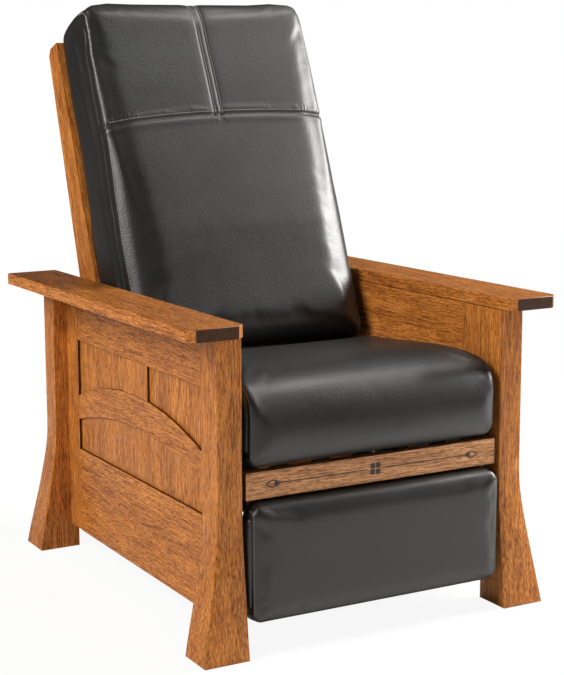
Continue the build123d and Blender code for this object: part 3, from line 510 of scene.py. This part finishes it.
def sew_in(piece, runs, depth, width, roll=0.0, spread=0.012):
    """Draws the cover in along seam lines, and lets it roll up a little on their inboard side."""
    surface = cover_of(piece)
    line = [spot for run in runs for spot, _ in strike(surface, run)]
    tree = KDTree(len(line))
    for index, spot in enumerate(line):
        tree.insert(spot, index)
    tree.balance()
    co, normal = points_of(piece)
    nearest = [tree.find(Vector(place)) for place in co]
    away = np.array([found[2] for found in nearest])
    seam_across = np.abs(np.array([line[found[1]].x for found in nearest]))
    inboard = np.abs(co[:, 0]) < seam_across + 0.001
    pull = depth * np.exp(-(away / width) ** 2)
    pull -= roll * inboard * np.exp(-((away - spread) / (0.6 * spread)) ** 2)
    move_points(piece, co - normal * pull[:, None])


stitch_half, stitch_radius, stitch_pitch = 0.0023, 0.00055, 0.0058
longest_gap = 0.03


def stitched(name, piece, runs, body, thread):
    """Topstitching: short thread stitches laid end to end on the cover along runs of rays."""
    surface = cover_of(piece)
    bpy.ops.mesh.primitive_uv_sphere_add(segments=6, ring_count=5, radius=1)
    bead = bpy.context.object
    shape = np.array([v.co for v in bead.data.vertices])
    shape = shape * np.array([stitch_half, stitch_radius, stitch_radius])
    faces = [tuple(p.vertices) for p in bead.data.polygons]
    bpy.data.objects.remove(bead)
    places, all_faces = [], []
    for run in runs:
        hits = strike(surface, run)
        travelled = 0.0
        for (here, out), (ahead, _) in zip(hits, hits[1:]):
            step = (ahead - here).length
            travelled = 0.0 if step > longest_gap else travelled + step
            if travelled < stitch_pitch:
                continue
            travelled = 0.0
            along = (ahead - here).normalized()
            across = out.cross(along).normalized()
            base = len(shape) * len(places)
            raised = np.array(here + out * stitch_radius * 0.5)
            places.append(shape @ np.array([along, across, out]) + raised)
            all_faces += [tuple(i + base for i in face) for face in faces]
    mesh = bpy.data.meshes.new(name)
    mesh.from_pydata(np.concatenate(places).tolist(), [], all_faces)
    sewing = bpy.data.objects.new(name, mesh)
    bpy.context.collection.objects.link(sewing)
    mesh.materials.append(thread)
    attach(sewing, body)


def fan(across, middle, first, last, reach=0.6, count=900):
    """Rays in the plane at across that turn about a middle (y, z), from one angle to another.
    At 0 degrees a ray meets the front of the cushion, and at 90 degrees its top."""
    rays = []
    for step in range(count + 1):
        angle = math.radians(first + (last - first) * step / count)
        inward = Vector((0, math.cos(angle), -math.sin(angle)))
        rays.append((Vector((across, *middle)) - inward * reach, inward))
    return rays


seam_inset, channel_half = 0.009, 0.009


def end_channels(seam):
    """Chooses the points in the sewn channels of the CAD block, one near each end."""
    return lambda co: np.abs(np.abs(co[:, 0]) - seam) < channel_half


seat_low, seat_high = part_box("seat_cushion")
seat_seam, seat_thread = seat_high[0] - seam_inset, 0.0038
resting_layer, rear_edge = 0.012, 0.05
roll_behind_front, roll_above_base = 0.10, 0.075
under_front, over_rear = -50, 165


def seat_rests(co):
    """The underside lies on the springs, and the rear edge against the back."""
    return (co[:, 2] < seat_low[2] + resting_layer) | (co[:, 1] > seat_high[1] - rear_edge)


seat = plump("seat_cushion", voxel=0.006, shrink=0.002, cap=0.005, held=seat_rests,
             channels=end_channels(seat_seam))
middle = (seat_low[1] + roll_behind_front, seat_low[2] + roll_above_base)
seams = [fan(x, middle, under_front, over_rear) for x in (-seat_seam, seat_seam)]
sew_in(seat, seams, depth=0.0028, width=0.0035, roll=0.0012)
rows = [fan(x, middle, under_front, over_rear, count=2400)
        for x in (seat_thread - seat_seam, seat_seam - seat_thread)]
stitched("seat_cushion_stitching", seat, rows, "seat", grey_thread)
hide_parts("seat_cushion")
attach(seat, "seat")

# The back cushion: a long leather pillow on the leaning frame, its front sewn from two head
# panels and one long panel, with a cross seam, a double-stitched centre strip and side seams.
pale_thread = plain_finish("pale_thread", (0.55, 0.54, 0.49), roughness=0.7)
foot_depth, foot_height = 0.578, 0.336
foot = np.array([cad_low[1] + foot_depth, foot_height])
rearward = np.array([math.cos(lean_angle), -math.sin(lean_angle)])
climbing = np.array([math.sin(lean_angle), math.cos(lean_angle)])
into = Vector((0, *rearward))
back_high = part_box("back_cushion")[1]
front_bottom, cross_seam, front_top = 0.09, 0.593, 0.79
strip_half, rear_layer = 0.008, 0.02
cross_channel, strip_channel, side_channel = 0.010, 0.018, 0.010


def on_back(across, up, behind):
    """A point from its place across, up along and behind the front of the leaning posts."""
    return Vector((across, *(foot + up * climbing + behind * rearward)))


def back_channels(co):
    """The sewn channels of the CAD block: across, up the middle and up both sides."""
    up, across = (co[:, 1:] - foot) @ climbing, np.abs(co[:, 0])
    strip = (across < strip_channel) & (up > cross_seam)
    sides = np.abs(across - back_high[0] + side_channel) < channel_half
    return (np.abs(up - cross_seam) < cross_channel) | strip | sides


def back_rests(co):
    """The rear of the cushion lies on the posts and slats."""
    return (co[:, 1:] - foot) @ rearward > -rear_layer


back = plump("back_cushion", voxel=0.006, shrink=0.002, cap=0.005, held=back_rests,
             channels=back_channels)

# Its cover is filled out a little at the sides and into the top corners, more to one side.
fullness, left_lift, right_lift = 1.016, 0.003, 0.007
corner_across, corner_up, corner_run = 0.14, 0.72, 0.12
co, _ = points_of(back)
up = (co[:, 1:] - foot) @ climbing
co[:, 0] *= fullness
corner = np.clip((np.abs(co[:, 0]) - corner_across) / corner_run, 0, 1)
corner *= np.clip((up - corner_up) / corner_run, 0, 1)
lift = corner * np.where(co[:, 0] < 0, left_lift, right_lift)
co[:, 1:] += lift[:, None] * climbing
move_points(back, co)

before_cover, ray_step = -0.4, 0.0012
half_thickness, half_width = -0.07, 0.26
crown_rise, side_droop, settling = 0.006, 0.012, 0.006


def up_the_front(across_at, first, last, over):
    """Rays up the front of the cushion, then over its top by some degrees."""
    heights = [first + k * ray_step for k in range(int((last - first) / ray_step))]
    rays = [(on_back(across_at(up), up, before_cover), into) for up in heights]
    pivot = on_back(0, last, half_thickness)
    lean = math.degrees(lean_angle)
    return rays + fan(across_at(last), (pivot.y, pivot.z), lean, lean + over, reach=0.4, count=240)


def arched(across):
    """How far up the cross seam lies: it rises over the crown, and has settled a little to one side."""
    share = across / half_width
    return cross_seam + crown_rise - side_droop * share ** 2 + settling * share


def across_the_front(to_side, step, above_seam=0.0):
    """Rays along the cross seam or a line above it, a step of millimetres apart, to each side."""
    return [(on_back(x / 1000, arched(x / 1000) + above_seam, before_cover), into)
            for x in range(-to_side, to_side + 1, step)]


def side_edge(surface, side):
    """Where one side of the cover lies, as heights up the back and places across."""
    ups = [front_bottom + 0.02 * k for k in range(37)]
    outside, halfway_in, inward = side * 0.5, -0.08, Vector((-side, 0, 0))
    struck = [surface.ray_cast(on_back(outside, up, halfway_in), inward)[0] for up in ups]
    return ups, [spot.x if spot else side * back_high[0] for spot in struck]


def near_side(side, inset):
    ups, edge = side_edges[side]
    return lambda up: float(np.interp(up, ups, edge)) - side * inset


cover = cover_of(back)
side_edges = {side: side_edge(cover, side) for side in (-1, 1)}
over_top, strip_bottom = 80, cross_seam + 0.004
seams = [up_the_front(near_side(side, seam_inset), front_bottom, front_top, over_top) for side in (-1, 1)]
sew_in(back, seams, depth=0.0024, width=0.0034, roll=0.0016, spread=0.014)
sew_in(back, [across_the_front(to_side=262, step=2)], depth=0.0035, width=0.0036, roll=0.0012)
seams = [up_the_front(lambda up: x, strip_bottom, front_top, over_top) for x in (-strip_half, strip_half)]
sew_in(back, seams, depth=0.0016, width=0.003)

strip_thread, side_thread, cross_thread = 0.0032, 0.0125, 0.0065
strip_thread_bottom, side_thread_bottom, side_thread_over = cross_seam + 0.005, 0.10, 60
rows = [across_the_front(to_side=256, step=1, above_seam=cross_thread)]
for x in (-strip_half - strip_thread, -strip_half + strip_thread,
          strip_half - strip_thread, strip_half + strip_thread):
    rows.append(up_the_front(lambda up: x, strip_thread_bottom, front_top, over_top))
for side in (-1, 1):
    edge = near_side(side, side_thread)
    rows.append(up_the_front(edge, side_thread_bottom, front_top, side_thread_over))
stitched("back_cushion_stitching", back, rows, "back", pale_thread)
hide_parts("back_cushion")
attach(back, "back")

# The footrest pad: a thinner pad of foam under the same leather, which lies on the front of its
# board. Its front is one panel, boxed and topstitched at both ends.
pad_low, pad_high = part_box("footrest_pad")
pad_seam, pad_thread, pad_reach = pad_high[0] - seam_inset, 0.0045, 0.4
on_board, before_board = pad_high[1] - 0.006, pad_high[1] - 0.01
under_pad, over_pad = -88, 88
pad = plump("footrest_pad", voxel=0.005, shrink=0.0015, cap=0.003,
            held=lambda co: co[:, 1] > on_board, channels=end_channels(pad_seam))
middle = (before_board, (pad_low[2] + pad_high[2]) / 2)
seams = [fan(x, middle, under_pad, over_pad, pad_reach) for x in (-pad_seam, pad_seam)]
sew_in(pad, seams, depth=0.0024, width=0.0032, roll=0.001)
rows = [fan(x, middle, under_pad, over_pad, pad_reach, count=1800)
        for x in (pad_thread - pad_seam, pad_seam - pad_thread)]
stitched("footrest_pad_stitching", pad, rows, "footrest", grey_thread)
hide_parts("footrest_pad")
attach(pad, "footrest")
